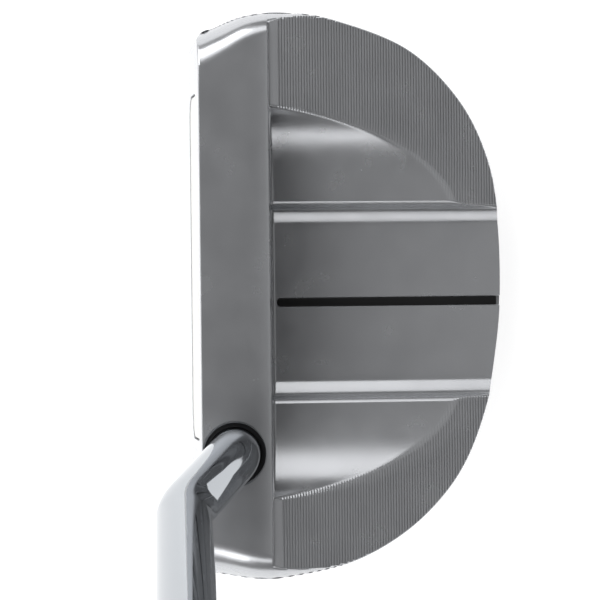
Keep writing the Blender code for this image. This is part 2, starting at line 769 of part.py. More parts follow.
def build_grip(parts, cutters, finishes):
    start = CLUB_LENGTH - GRIP_LENGTH
    place = grip_frame(start)
    shaft_low = shaft_radius(start)
    shaft_high = shaft_radius(CLUB_LENGTH)
    tape_wall, core_wall = 0.25 * MM, 2.2 * MM
    end = GRIP_LENGTH - 3 * MM
    layers = []
    inner_low, inner_high = shaft_low + THIN_GAP, shaft_high + THIN_GAP
    outer_low, outer_high = inner_low + tape_wall, inner_high + tape_wall
    tape, tape_hole = lofted_sleeve(
        "grip_tape", [(4 * MM, outer_low, 1), (end, outer_high, 1)],
        (0, end + 4 * MM, inner_low, inner_high), parts, cutters, finishes["tape"], 24)
    inner_low, inner_high = outer_low + THIN_GAP, outer_high + THIN_GAP
    outer_low, outer_high = inner_low + core_wall * 0.5, inner_high + core_wall
    core, core_hole = lofted_sleeve(
        "grip_underlisting", [(4 * MM, outer_low, 1), (end, outer_high, 1)],
        (0, end + 4 * MM, inner_low, inner_high), parts, cutters, finishes["charcoal"], 24)
    inner_low, inner_high = outer_low + THIN_GAP, outer_high + THIN_GAP
    stations = []
    for share in (0.0, 0.02, 0.12, 0.35, 0.62, 0.85, 0.97, 1.0):
        growth = blend(share, 0.0, 0.9)
        radius = GRIP_MOUTH_R + (GRIP_BUTT_R - GRIP_MOUTH_R) * growth
        flat = radius - (GRIP_MOUTH_FLAT_DEPTH
                         + (GRIP_FLAT_DEPTH - GRIP_MOUTH_FLAT_DEPTH) * growth)
        if share in (0.0, 1.0):
            radius -= 0.5 * MM
        stations.append((share * end, radius, flat))
    skin, skin_hole = lofted_sleeve(
        "grip_skin", stations, (-4 * MM, end + 4 * MM, inner_low, inner_high), parts, cutters,
        finishes["charcoal"])
    collar_profile = [(GRIP_MOUTH_R - 0.6 * MM, -0.4 * MM), (GRIP_MOUTH_R - 0.6 * MM, -3.0 * MM),
                      (GRIP_MOUTH_R - 1.4 * MM, -4.0 * MM), (shaft_low + GAP, -4.0 * MM),
                      (shaft_low + GAP, -0.4 * MM)]
    collar = turned("grip_collar", collar_profile, parts, finishes["black"])
    cap_r = GRIP_BUTT_R - 0.6 * MM
    low, high = end + GAP, end + 3 * MM
    cap, cap_hole = lofted_sleeve(
        "grip_cap", [(low, cap_r, cap_r - GRIP_FLAT_DEPTH),
                     (high - 1.2 * MM, cap_r, cap_r - GRIP_FLAT_DEPTH),
                     (high, cap_r - 1.2 * MM, cap_r - 1.2 * MM - GRIP_FLAT_DEPTH)],
        (low - 1 * MM, high + 1 * MM, 1.2 * MM, 1.2 * MM), parts, cutters, finishes["black"])
    layers += [tape, tape_hole, core, core_hole, skin, skin_hole, collar, cap, cap_hole]
    for obj in layers:
        obj.matrix_world = place
    for obj in (tape, core, skin, collar, cap):
        smooth(obj)


def main():
    for obj in list(bpy.data.objects):
        bpy.data.objects.remove(obj)
    parts = bpy.data.collections.new("mallet_putter")
    cutters = bpy.data.collections.new("cutters")
    for collection in (parts, cutters):
        bpy.context.scene.collection.children.link(collection)
    finishes = {
        "steel": material("satin_steel", STEEL, 0.38, 1.0),
        "plate": material("brushed_plate", STEEL, 0.3, 1.0),
        "dark_steel": material("black_oxide_steel", CHARCOAL, 0.4, 1.0),
        "weight": material("weight_steel", CHROME, 0.25, 1.0),
        "chrome": material("chrome", CHROME, 0.06, 1.0),
        "white": material("white_urethane", WHITE, 0.45),
        "cream": material("cream_urethane", CREAM, 0.6),
        "black": material("black", BLACK, 0.4),
        "charcoal": material("charcoal_rubber", CHARCOAL, 0.75),
        "tape": material("adhesive_tape", TAPE, 0.7),
        "amber": material("epoxy", AMBER, 0.3),
        "cork": material("cork", CORK, 0.8),
    }
    build_head(parts, cutters, finishes)
    build_insert(parts, finishes)
    build_line(parts, finishes)
    build_sole(parts, cutters, finishes)
    build_shaft(parts, cutters, finishes)
    build_grip(parts, cutters, finishes)


main()
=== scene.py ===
"""The looks of the mallet putter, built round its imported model.

Frame, in metres: +X to the heel, -X to the toe, -Y to the target, +Y to the rear of the
head, +Z up. The origin is the middle of the flat sole.
"""

import math

import bpy
import numpy as np
from mathutils import Matrix, Vector


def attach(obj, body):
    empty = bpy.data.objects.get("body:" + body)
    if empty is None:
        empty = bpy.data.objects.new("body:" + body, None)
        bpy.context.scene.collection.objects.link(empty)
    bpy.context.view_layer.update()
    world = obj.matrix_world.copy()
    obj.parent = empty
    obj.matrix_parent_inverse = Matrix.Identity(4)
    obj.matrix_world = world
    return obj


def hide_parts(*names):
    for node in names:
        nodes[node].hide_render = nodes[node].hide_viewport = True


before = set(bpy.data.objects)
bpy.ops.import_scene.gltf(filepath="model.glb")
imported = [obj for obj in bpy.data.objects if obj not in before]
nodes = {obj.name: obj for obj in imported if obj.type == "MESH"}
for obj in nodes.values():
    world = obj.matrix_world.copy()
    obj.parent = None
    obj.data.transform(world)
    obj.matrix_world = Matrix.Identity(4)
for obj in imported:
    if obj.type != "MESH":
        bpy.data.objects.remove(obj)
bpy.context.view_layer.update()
MM = 0.001

# The camera looks down on the head from over a point just in front of its face, as a
# golfer does, and leans a little to the rear of the head. The toe is up in the picture.

CAMERA_PLACE = Vector((-0.4, -34.5, 538.7)) * MM
CAMERA_LEAN = math.radians(2.865)
CAMERA_ROLL = math.radians(-0.63)

camera_data = bpy.data.cameras.new("camera")
camera_data.lens = 174.7
camera = bpy.data.objects.new("camera", camera_data)
bpy.context.scene.collection.objects.link(camera)
lean_cos, lean_sin = math.cos(CAMERA_LEAN), math.sin(CAMERA_LEAN)
camera_axes = Matrix(((0, -1, 0), (lean_cos, 0, -lean_sin), (lean_sin, 0, lean_cos)))
turned_axes = camera_axes.to_4x4() @ Matrix.Rotation(CAMERA_ROLL, 4, "Z")
camera.matrix_world = Matrix.Translation(CAMERA_PLACE) @ turned_axes
bpy.context.scene.camera = camera

# The studio: a pale floor that glows a little, a wide soft box in front of the face, one
# over each end of the head and one behind it, and a dark room that the level tops see.

bpy.context.scene.view_settings.view_transform = "Standard"
world = bpy.data.worlds.new("room")
bpy.context.scene.world = world
world.use_nodes = True
world.node_tree.nodes["Background"].inputs["Color"].default_value = (0.80, 0.81, 0.83, 1)
world.node_tree.nodes["Background"].inputs["Strength"].default_value = 0.03


def soft_box(name, azimuth, zenith, size, radiance, distance=1.5):
    """A soft box that faces the head. Azimuth turns from the target to the heel and
    zenith is the angle off the vertical, in degrees; the size is across and up."""
    turn, tilt = math.radians(azimuth), math.radians(zenith)
    away = Vector((math.sin(turn) * math.sin(tilt), -math.cos(turn) * math.sin(tilt),
                   math.cos(tilt)))
    across = Vector((math.cos(turn), math.sin(turn), 0))
    data = bpy.data.lights.new(name, "AREA")
    data.shape = "RECTANGLE"
    data.size, data.size_y = size
    data.energy = radiance * math.pi * size[0] * size[1]
    light = bpy.data.objects.new(name, data)
    bpy.context.scene.collection.objects.link(light)
    axes = Matrix((across, away.cross(across), away)).transposed().to_4x4()
    light.matrix_world = Matrix.Translation(away * distance) @ axes
    return light


soft_box("front_toe_box", -45, 55, (1.5, 0.62), 5.2)
soft_box("front_heel_box", 45, 55, (1.5, 0.62), 5.2)
soft_box("toe_box", -80, 43, (1.5, 0.75), 1.6)
soft_box("heel_box", 82, 45, (1.5, 0.34), 1.8)
soft_box("rear_box", 180, 30, (1.2, 0.75), 0.3)

bpy.ops.object.select_all(action="DESELECT")
bpy.ops.mesh.primitive_plane_add(size=8, location=(0, 0, -0.0004))
floor = bpy.context.object
floor.name = "floor"
floor_paint = bpy.data.materials.new("floor_paint")
floor_paint.use_nodes = True
floor_shader = floor_paint.node_tree.nodes["Principled BSDF"]
floor_shader.inputs["Base Color"].default_value = (0.5, 0.5, 0.5, 1)
floor_shader.inputs["Roughness"].default_value = 0.9
floor_shader.inputs["Emission Color"].default_value = (1, 1, 1, 1)
floor_shader.inputs["Emission Strength"].default_value = 0.8
floor.data.materials.append(floor_paint)

# Head: one steel casting, satin blasted all over. The topline stands over a channel and
# two side pockets with curved outer walls, and the two crescents outside them are milled
# in fine lines from toe to heel. The face leans back, and the rim is rounded off.

TOP_Z = 24.0 * MM
LOFT = math.radians(3.5)
FACE_TOP_Y = -26.4 * MM
TOPLINE_REAR_Y = -14.0 * MM
WALL_DRAFT = math.radians(4.0)
ROLL_Y = -18.8 * MM
ROLL_DROP = 0.35 * MM
CORNER_RADIUS = 2.8 * MM
OUTLINE_MM = (
    (-48.9, -24.0), (-51.0, -18.5), (-51.7, -11.5), (-50.4, -1.7), (-45.4, 11.6),
    (-36.2, 21.2), (-25.2, 26.5), (-13.6, 28.3), (0.0, 28.5), (9.9, 27.5),
    (18.7, 25.8), (28.4, 22.1), (35.6, 17.1), (41.9, 9.9), (46.5, 0.8),
    (49.0, -10.5), (49.3, -16.5), (48.2, -24.0),
)
SHOULDER_FRONT = {"toe": 5.9 * MM, "heel": 6.4 * MM}
SHOULDER_REAR = {"toe": 4.2 * MM, "heel": 5.2 * MM}
SHOULDER_RISE = 1.15
EDGE_ROUND = 0.5 * MM
WALL_EDGE = 0.14 * MM
WALL_FOOT = 0.64 * MM
SKIRT_WIDTH = 6.5 * MM
SKIRT_HEIGHT = 7.5 * MM
MILLED_DROP = 1.1 * MM
MILLED_SLOPE = 0.279
FLOOR_SLOPE = 0.079
MEET_Y = 21.95 * MM
CHANNEL_DEPTH = 3.0 * MM
# The slope of the channel's side in degrees, by distance from the middle of the head
CHANNEL_WALL_MM = ((13.9, 0), (14.5, 20), (16.3, 28), (16.75, 45), (17.0, 64), (17.45, 64),
                   (17.62, 26), (18.05, 20), (18.3, 0))
WALL_STATIONS = 300
TROUGH_CENTRE = 14.7 * MM
TROUGH_HALF_WIDTH = 20.5 * MM
TROUGH_HEIGHT = 8.9 * MM
TROUGH_STARTS = (16.5 * MM, 18.3 * MM)
PAST_TROUGH_SLOPE = 30
POCKET_BREAK = 0.22 * MM
BREAK_SLOPE = 0.3
BREAK_BLEND = 0.12 * MM
SHOULDER_BLEND = 0.2 * MM
GROOVE_PITCH = 0.5 * MM
GROOVE_DEPTH = 0.08 * MM


def pick_nothing():
    """Leave edit mode, deselect every object and have none active."""
    if bpy.context.object and bpy.context.object.mode != "OBJECT":
        bpy.ops.object.mode_set(mode="OBJECT")
    bpy.ops.object.select_all(action="DESELECT")


def pick(obj):
    pick_nothing()
    obj.select_set(True)
    bpy.context.view_layer.objects.active = obj


def placed_grid(name, points, wrap=False, caps=False):
    """A grid primitive whose points are set from an array of rows; a wrapped one is
    welded into a tube, and caps close its two ends."""
    rows, columns = points.shape[:2]
    pick_nothing()
    bpy.ops.mesh.primitive_grid_add(x_subdivisions=columns - 1, y_subdivisions=rows - 1)
    obj = bpy.context.object
    obj.name = obj.data.name = name
    obj.data.vertices.foreach_set("co", points.astype(np.float32).ravel())
    obj.data.update()
    bpy.ops.object.mode_set(mode="EDIT")
    if wrap:
        bpy.ops.mesh.select_all(action="SELECT")
        bpy.ops.mesh.remove_doubles(threshold=1e-7)
    if caps:
        bpy.ops.mesh.select_all(action="DESELECT")
        bpy.ops.mesh.select_mode(type="EDGE")
        bpy.ops.mesh.select_non_manifold()
        bpy.ops.mesh.edge_face_add()
    bpy.ops.mesh.select_all(action="SELECT")
    bpy.ops.mesh.normals_make_consistent(inside=False)
    bpy.ops.object.mode_set(mode="OBJECT")
    return obj


def cut(target, cutter, operation="DIFFERENCE"):
    """Apply a Boolean and remove its cutter."""
    pick(target)
    modifier = target.modifiers.new("cut", "BOOLEAN")
    modifier.operation = operation
    modifier.solver = "MANIFOLD"
    modifier.object = cutter
    bpy.ops.object.modifier_apply(modifier=modifier.name)
    bpy.data.objects.remove(cutter)


def smooth_min(a, b, width):
    """The lower of two heights, with their crossing rounded over the width."""
    near = np.maximum(width - np.abs(a - b), 0) / width
    return np.minimum(a, b) - near * near * width / 4


def blend(value, low, high):
    t = np.clip((value - low) / (high - low), 0, 1)
    return t * t * (3 - 2 * t)


def milled_z(y):
    return TOP_Z - MILLED_DROP - MILLED_SLOPE * (y - TOPLINE_REAR_Y)


def floor_z(y):
    return milled_z(MEET_Y) - FLOOR_SLOPE * (y - MEET_Y)


def topline_z(y):
    """Flat behind the face, then rolling down a little to its rear edge."""
    share = np.maximum(y - ROLL_Y, 0) / (TOPLINE_REAR_Y - ROLL_Y)
    return TOP_Z - ROLL_DROP * share * share


wall_x = np.linspace(CHANNEL_WALL_MM[0][0], CHANNEL_WALL_MM[-1][0], WALL_STATIONS)
wall_slope = np.tan(np.radians(np.interp(wall_x, *zip(*CHANNEL_WALL_MM))))
mean_slope = (wall_slope[1:] + wall_slope[:-1]) / 2
wall_z = np.concatenate([[0], np.cumsum(mean_slope * np.diff(wall_x))])
wall_z = (wall_z / wall_z[-1] - 1) * CHANNEL_DEPTH


def section_height(x):
    """Channel, ridge and side pocket across the head, as height over the pocket floor:
    a foot that rises gently, a steep wall with a broken edge and the trough of the
    pocket."""
    x = np.abs(x)
    channel = np.interp(x, wall_x * MM, wall_z)
    share = np.clip((x - TROUGH_CENTRE) / TROUGH_HALF_WIDTH, 0, 1)
    trough = TROUGH_HEIGHT * (1 - np.sqrt(1 - share * share))
    trough += np.maximum(x - TROUGH_CENTRE - TROUGH_HALF_WIDTH, 0) * PAST_TROUGH_SLOPE
    return channel + trough * blend(x, *TROUGH_STARTS)


def groove_relief(y):
    """Milled lines: shallow scallops with a crest between two."""
    phase = np.mod(y / GROOVE_PITCH, 1)
    return GROOVE_DEPTH * ((2 * phase - 1) ** 2 - 1)


def catmull_rom(points, steps):
    """A smooth line through the points, with the given number of steps between two."""
    ends = np.vstack([2 * points[0] - points[1], points, 2 * points[-1] - points[-2]])
    line = []
    for before, start, end, after in zip(ends, ends[1:], ends[2:], ends[3:]):
        for step in range(steps):
            t = step / steps
            line.append(0.5 * (2 * start + (end - before) * t
                               + (2 * before - 5 * start + 4 * end - after) * t * t
                               + (3 * start - before - 3 * end + after) * t ** 3))
    line.append(points[-1])
    return line


side_line = catmull_rom(np.array(OUTLINE_MM) * MM, 12)
runs_on = [end + (end - before) * 8 for before, end in
           ((side_line[6], side_line[0]), (side_line[-7], side_line[-1]))]
side_line = np.array([runs_on[0], *side_line, runs_on[1]])


def shoulder_drop(x, y):
    """How far the rolled shoulder lies under the top, from the distance to the side."""
    place = np.stack([x, y], axis=-1)[..., None, :]
    start, step = side_line[:-1], np.diff(side_line, axis=0)
    along = np.clip(((place - start) * step).sum(-1) / (step * step).sum(-1), 0, 1)
    distance = np.linalg.norm(place - start - along[..., None] * step, axis=-1).min(-1)
    rear = blend(y, -26 * MM, -13 * MM)
    toe, heel = (SHOULDER_FRONT[end] * (1 - rear) + SHOULDER_REAR[end] * rear
                 for end in ("toe", "heel"))
    width = np.where(x < 0, toe, heel)
    share = np.clip(1 - distance / width, 0, 1)
    return SHOULDER_RISE * width * (1 - np.sqrt(1 - share * share))


def relief_z(x, y):
    """The lower of the pocket and the milled plane, with a flat break along their edge."""
    pocket = floor_z(y) + section_height(x)
    milled = milled_z(y) + groove_relief(y)
    edge = milled + BREAK_SLOPE * (pocket - milled) - POCKET_BREAK
    broken = smooth_min(np.minimum(pocket, milled), edge, BREAK_BLEND)
    return smooth_min(broken, TOP_Z - ROLL_DROP - shoulder_drop(x, y), SHOULDER_BLEND)


def bezier_corner(start, corner, end, t):
    return tuple((1 - t) ** 2 * a + 2 * t * (1 - t) * b + t * t * c
                 for a, b, c in zip(start, corner, end))


# Columns stand close where the section turns: the channel's foot, wall and ridge, the
# trough and the shoulder
half_columns = np.concatenate([
    np.linspace(0, 13.9, 8)[:-1], np.linspace(13.9, 16.6, 15)[:-1],
    np.linspace(16.6, 18.4, 19)[:-1], np.linspace(18.4, 35.2, 62), np.linspace(35.6, 42, 7),
    np.linspace(42.3, 52.5, 35), (54, 56)]) * MM
columns = np.concatenate([-half_columns[:0:-1], half_columns])

rows = []
for y in np.linspace(-31.0, -14.5, 45) * MM:
    level = np.full_like(columns, y)
    rows.append((columns, level, topline_z(y) - shoulder_drop(columns, level)))
wall_drop = shoulder_drop(columns, np.full_like(columns, TOPLINE_REAR_Y))
top_corner = (TOPLINE_REAR_Y, topline_z(TOPLINE_REAR_Y) - wall_drop)
draft = math.tan(WALL_DRAFT)
foot_z = np.minimum(relief_z(columns, np.full_like(columns, TOPLINE_REAR_Y + 0.5 * MM)),
                    top_corner[1]) - 0.05 * MM
foot_y = TOPLINE_REAR_Y + (top_corner[1] - foot_z) * draft
edge = np.minimum(WALL_EDGE, 0.35 * (top_corner[1] - foot_z))
foot = np.minimum(WALL_FOOT, 0.5 * (top_corner[1] - foot_z))
wall_top = (TOPLINE_REAR_Y + edge * draft, top_corner[1] - edge)
for t in np.linspace(0, 1, 7):
    before = (TOPLINE_REAR_Y - edge, topline_z(TOPLINE_REAR_Y - edge) - wall_drop)
    rows.append((columns, *bezier_corner(before, top_corner, wall_top, t)))
wall_foot = (foot_y - foot * draft, foot_z + foot)
for t in (0.33, 0.66):
    rows.append((columns, *(a + (b - a) * t for a, b in zip(wall_top, wall_foot))))
floor_start = (foot_y + foot, relief_z(columns, foot_y + foot))
for t in np.linspace(0, 1, 8):
    rows.append((columns, *bezier_corner(wall_foot, (foot_y, foot_z), floor_start, t)))
STEP = GROOVE_PITCH / 4
first = math.ceil(floor_start[0].max() / STEP + 1) * STEP
for t in (0.25, 0.5, 0.75):
    y = floor_start[0] + (first - floor_start[0]) * t
    rows.append((columns, y, relief_z(columns, y)))
for y in np.arange(first, 31.5 * MM, STEP):
    level = np.full_like(columns, y)
    rows.append((columns, level, relief_z(columns, level)))
points = np.array([np.stack(row, axis=1) for row in rows])
head = placed_grid("head_body", points)

pick(head)
bpy.ops.object.mode_set(mode="EDIT")
bpy.ops.mesh.select_all(action="DESELECT")
bpy.ops.mesh.select_mode(type="EDGE")
bpy.ops.mesh.select_non_manifold()
bpy.ops.mesh.extrude_edges_move()
bpy.ops.transform.resize(value=(1, 1, 0))
bpy.ops.transform.translate(value=(0, 0, -25 * MM))
bpy.ops.mesh.edge_face_add()
bpy.ops.mesh.select_all(action="SELECT")
bpy.ops.mesh.normals_make_consistent(inside=False)
bpy.ops.object.mode_set(mode="OBJECT")


def plan_outline(steps):
    """The plan outline at the face's top, and each point's share of face: 0 on the
    sides, 1 on the face."""
    side = catmull_rom(np.array(OUTLINE_MM) * MM, steps)
    points, face = list(side), [0.0] * len(side)
    bends = 12
    turns = []
    for corner, sign in ((side[-1], 1), (side[0], -1)):
        bend = np.array((corner[0] - sign * 0.1 * CORNER_RADIUS, FACE_TOP_Y))
        end = np.array((corner[0] - sign * CORNER_RADIUS, FACE_TOP_Y))
        turns.append([((1 - t) ** 2 * corner + 2 * t * (1 - t) * bend + t * t * end, t)
                      for t in np.linspace(0, 1, bends + 1)[1:]])
    start, end = turns[0][-1][0], turns[1][-1][0]
    along = [(start + (end - start) * t, 1.0) for t in np.linspace(0, 1, 24)[1:-1]]
    for point, share in turns[0] + along + turns[1][::-1]:
        points.append(point)
        face.append(share)
    return np.array(points), np.array(face)


def shell_ring(outline, share, inset, height):
    """The outline drawn in towards the middle of the head, leaning with the face."""
    middle = np.array((-1.5 * MM, -3.0 * MM))
    inward = middle - outline
    inward /= np.linalg.norm(inward, axis=1)[:, None]
    straight = np.array((0.0, 1.0))
    inward = inward * (1 - share[:, None]) + straight * share[:, None]
    inward /= np.linalg.norm(inward, axis=1)[:, None]
    moved = outline + inward * inset[:, None]
    lean = (height - TOP_Z) * math.tan(LOFT)
    ring = np.stack([moved[:, 0], moved[:, 1] + lean * share, height], axis=1)
    return np.vstack([ring, ring[:1]])


outline, share = plan_outline(20)
rim = EDGE_ROUND * (1 - share) + 0.4 * MM * share
inner = shell_ring(outline, share, rim, np.full_like(share, TOP_Z))[:-1]
inner_drop = shoulder_drop(inner[:, 0], inner[:, 1])
behind = blend(inner[:, 1], -17 * MM, -13 * MM)
front_top = topline_z(np.minimum(inner[:, 1], TOPLINE_REAR_Y)) - inner_drop
rear_top = np.minimum(milled_z(inner[:, 1]), TOP_Z - ROLL_DROP - inner_drop)
rim_top = front_top * (1 - behind) + rear_top * behind + 0.05 * MM
rings = []
for turn in np.radians(np.linspace(0, 90, 11)):
    skirt_width = SKIRT_WIDTH * (1 - share) + 1.0 * MM * share
    skirt_height = SKIRT_HEIGHT * (1 - share) + 1.2 * MM * share
    rings.append(shell_ring(outline, share, skirt_width * (1 - math.sin(turn)),
                            skirt_height * (1 - math.cos(turn))))
for turn in np.radians(np.linspace(0, 84, 15)):
    rings.append(shell_ring(outline, share, rim * (1 - math.cos(turn)),
                            rim_top - 1.15 * rim * (1 - math.sin(turn))))
rings.append(rings[-1] + np.array((0, 0, 6 * MM)))
shell = placed_grid("shell", np.array(rings), wrap=True, caps=True)
cut(head, shell, "INTERSECT")


# The hole for the shaft, with a small bright chamfer and a step that its ring stands on.

HOLE = Vector((26.7, -20.55, 24.0)) * MM
HOLE_R = 5.5 * MM
BORE_R = 5.0 * MM
RING_DEPTH = 4.0 * MM
CHAMFER = 0.35 * MM


def turned(name, profile, spot, steps=96):
    """A closed profile of (radius, height) turned about a vertical axis."""
    angles = np.linspace(0, 2 * math.pi, steps + 1)
    rows = []
    for radius, height in [*profile, profile[0]]:
        level = np.full_like(angles, height)
        rows.append(np.stack([spot[0] + radius * np.cos(angles),
                              spot[1] + radius * np.sin(angles), level], axis=1))
    return placed_grid(name, np.array(rows), wrap=True)


hole_cutter = turned("hole_cutter", [
    (0, HOLE.z + 2 * MM), (HOLE_R + CHAMFER + 2 * MM, HOLE.z + 2 * MM),
    (HOLE_R, HOLE.z - CHAMFER), (HOLE_R, HOLE.z - RING_DEPTH),
    (BORE_R, HOLE.z - RING_DEPTH), (BORE_R, 7 * MM), (0, 7 * MM)], HOLE)
cut(head, hole_cutter)

# The pocket of the face insert, in two steps, and the groove of the sight line, which has
# a fine chamfer along its edges.

INSERT = {"toe": -37.5 * MM, "heel": 24.5 * MM, "bottom": 3.6 * MM, "top": 21.6 * MM}
INSERT_CORNER = 4.5 * MM
INSERT_DEPTH = 1.4 * MM
CORE_DEPTH = 4.15 * MM
CORE_INSET = 2.8 * MM
LINE_WIDTH = 1.65 * MM
LINE_DEPTH = 0.8 * MM
LINE_FRONT_Y = -12.4 * MM
FIT_GAP = 0.15 * MM


def arc(centre, radius, start, end, count):
    angles = np.radians(np.linspace(start, end, count))
    return [(centre[0] + radius * math.cos(a), centre[1] + radius * math.sin(a)) for a in angles]


def rounded_box(left, right, bottom, top, radii, steps=14):
    """A closed outline with its own radius at each corner, bottom right one first."""
    corners = ((right, bottom, -1, 1, -90), (right, top, -1, -1, 0),
               (left, top, 1, -1, 90), (left, bottom, 1, 1, 180))
    outline = []
    for (x, y, dx, dy, start), radius in zip(corners, radii):
        outline += arc((x + dx * radius, y + dy * radius), radius, start, start + 90, steps)
    return outline


def slab(name, outline, low, high):
    """A flat outline given thickness."""
    pick_nothing()
    bpy.ops.mesh.primitive_circle_add(vertices=len(outline), fill_type="NGON")
    obj = bpy.context.object
    obj.name = obj.data.name = name
    for vertex, (x, y) in zip(obj.data.vertices, outline):
        vertex.co = (x, y, low)
    bpy.ops.object.mode_set(mode="EDIT")
    bpy.ops.mesh.select_all(action="SELECT")
    bpy.ops.mesh.extrude_region_move(TRANSFORM_OT_translate={"value": (0, 0, high - low)})
    bpy.ops.mesh.select_all(action="SELECT")
    bpy.ops.mesh.normals_make_consistent(inside=False)
    bpy.ops.object.mode_set(mode="OBJECT")
    return obj


def bevel(obj, width, segments=3, angle=50):
    pick(obj)
    modifier = obj.modifiers.new("bevel", "BEVEL")
    modifier.width = width
    modifier.segments = segments
    modifier.limit_method = "ANGLE"
    modifier.angle_limit = math.radians(angle)
    bpy.ops.object.modifier_apply(modifier=modifier.name)
    return obj


def insert_outline(inset):
    corner = INSERT_CORNER - inset / 2
    return rounded_box(INSERT["toe"] + inset, INSERT["heel"] - inset, INSERT["bottom"] + inset,
                       INSERT["top"] - inset, (corner, corner, 1.5 * corner, corner))


def on_face(obj):
    """Place a piece that is drawn in the plane of the face."""
    foot = Vector((0, FACE_TOP_Y - TOP_Z * math.tan(LOFT), 0))
    obj.data.transform(Matrix.Translation(foot) @ Matrix.Rotation(math.pi / 2 - LOFT, 4, "X"))
    return obj


def line_outline(width, front, rear):
    """The sight line: round at the front end and open at the rear."""
    half = width / 2
    return [(half, rear), *arc((0, front + half), half, 0, -180, 25), (-half, rear)]


def along_floor(obj):
    """Lay a piece that is drawn flat on the sloping floor of the channel."""
    level = Matrix.Translation((0, 0, floor_z(0) - CHANNEL_DEPTH))
    obj.data.transform(level @ Matrix.Rotation(-math.atan(FLOOR_SLOPE), 4, "X"))
    return obj


cut(head, on_face(slab("insert_cutter", insert_outline(-FIT_GAP), -INSERT_DEPTH, 3 * MM)))
cut(head, on_face(slab("core_cutter", insert_outline(CORE_INSET - FIT_GAP), -CORE_DEPTH,
                       1 * MM)))
line_cutter = slab("line_cutter", line_outline(LINE_WIDTH, LINE_FRONT_Y, 36 * MM),
                   -LINE_DEPTH, 2 * MM)
cut(head, along_floor(line_cutter))
flare = slab("line_flare", line_outline(LINE_WIDTH + 0.26 * MM, LINE_FRONT_Y - 0.13 * MM, 36 * MM),
             -0.13 * MM, 1 * MM)
cut(head, along_floor(bevel(flare, 0.13 * MM, 1)))

# Under the head: the recess of the sole plate, the stepped ports of the two weights and
# the blind holes of the four screws.

PLATE = {"half": 28.0 * MM, "front": -12.5 * MM, "rear": 22.5 * MM}
PLATE_FRONT_CORNER = 7.0 * MM
PLATE_REAR_CORNER = 15.0 * MM
PLATE_THICK = 1.4 * MM
PLATE_RECESS = 2.5 * MM
SOLE_GAP = 0.3 * MM
WEIGHT_SPOTS = {"toe": (-37.4 * MM, -4.0 * MM), "heel": (36.4 * MM, -4.0 * MM)}
WEIGHT_FLANGE_R = 6.4 * MM
WEIGHT_BODY_R = 5.0 * MM
WEIGHT_TOP_Z = 9.4 * MM
SCREW_INSET = 2.7 * MM
SCREW_R = 2.1 * MM


def plate_outline(inset):
    front, rear = PLATE_FRONT_CORNER - inset, PLATE_REAR_CORNER - inset
    return rounded_box(inset - PLATE["half"], PLATE["half"] - inset, PLATE["front"] + inset,
                       PLATE["rear"] - inset, (front, rear, rear, front))


def screw_spots():
    """The middle of each corner of the plate, in from its edge."""
    spots = []
    for radius, y, away in ((PLATE_FRONT_CORNER, PLATE["front"], 1),
                            (PLATE_REAR_CORNER, PLATE["rear"], -1)):
        reach = (radius - SCREW_INSET) / math.sqrt(2)
        x = PLATE["half"] - radius + reach
        spots += [(side * x, y + away * (radius - reach)) for side in (-1, 1)]
    return spots


cut(head, slab("plate_cutter", plate_outline(-SOLE_GAP), -3 * MM, PLATE_RECESS))
for side, spot in WEIGHT_SPOTS.items():
    port = [(0, WEIGHT_TOP_Z + SOLE_GAP), (WEIGHT_BODY_R + SOLE_GAP, WEIGHT_TOP_Z + SOLE_GAP),
            (WEIGHT_BODY_R + SOLE_GAP, 2.9 * MM), (WEIGHT_FLANGE_R + SOLE_GAP, 2.9 * MM),
            (WEIGHT_FLANGE_R + SOLE_GAP, 0.3 * MM), (WEIGHT_FLANGE_R + 0.9 * MM, -0.3 * MM),
            (WEIGHT_FLANGE_R + 0.9 * MM, -3 * MM), (0, -3 * MM)]
    cut(head, turned(f"{side}_port", port, spot))
for spot in screw_spots():
    cut(head, turned("screw_hole", [(0, 7.2 * MM), (1.3 * MM, 7.2 * MM), (1.3 * MM, 1 * MM),
                                    (0, 1 * MM)], spot, 32))

pick(head)
bpy.ops.object.shade_smooth_by_angle(angle=math.radians(32))
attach(head, "root")
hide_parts("head_body")

# Shared grain: fine bumps, and a slow cloudiness that the colours and gloss follow.

grain_group = bpy.data.node_groups.new("grain", "ShaderNodeTree")
for socket, kind, direction in (("Vector", "NodeSocketVector", "INPUT"),
                                ("Scale", "NodeSocketFloat", "INPUT"),
                                ("Strength", "NodeSocketFloat", "INPUT"),
                                ("Normal", "NodeSocketVector", "OUTPUT"),
                                ("Cloud", "NodeSocketFloat", "OUTPUT"),
                                ("Fine", "NodeSocketFloat", "OUTPUT")):
    grain_group.interface.new_socket(socket, in_out=direction, socket_type=kind)
grain_in = grain_group.nodes.new("NodeGroupInput")
grain_out = grain_group.nodes.new("NodeGroupOutput")
fine = grain_group.nodes.new("ShaderNodeTexNoise")
fine.inputs["Detail"].default_value = 3
cloud_scale = grain_group.nodes.new("ShaderNodeMath")
cloud_scale.operation = "MULTIPLY"
cloud_scale.inputs[1].default_value = 0.03
cloud = grain_group.nodes.new("ShaderNodeTexNoise")
cloud.inputs["Detail"].default_value = 4
grain_bump = grain_group.nodes.new("ShaderNodeBump")
grain_bump.inputs["Distance"].default_value = 0.03 * MM
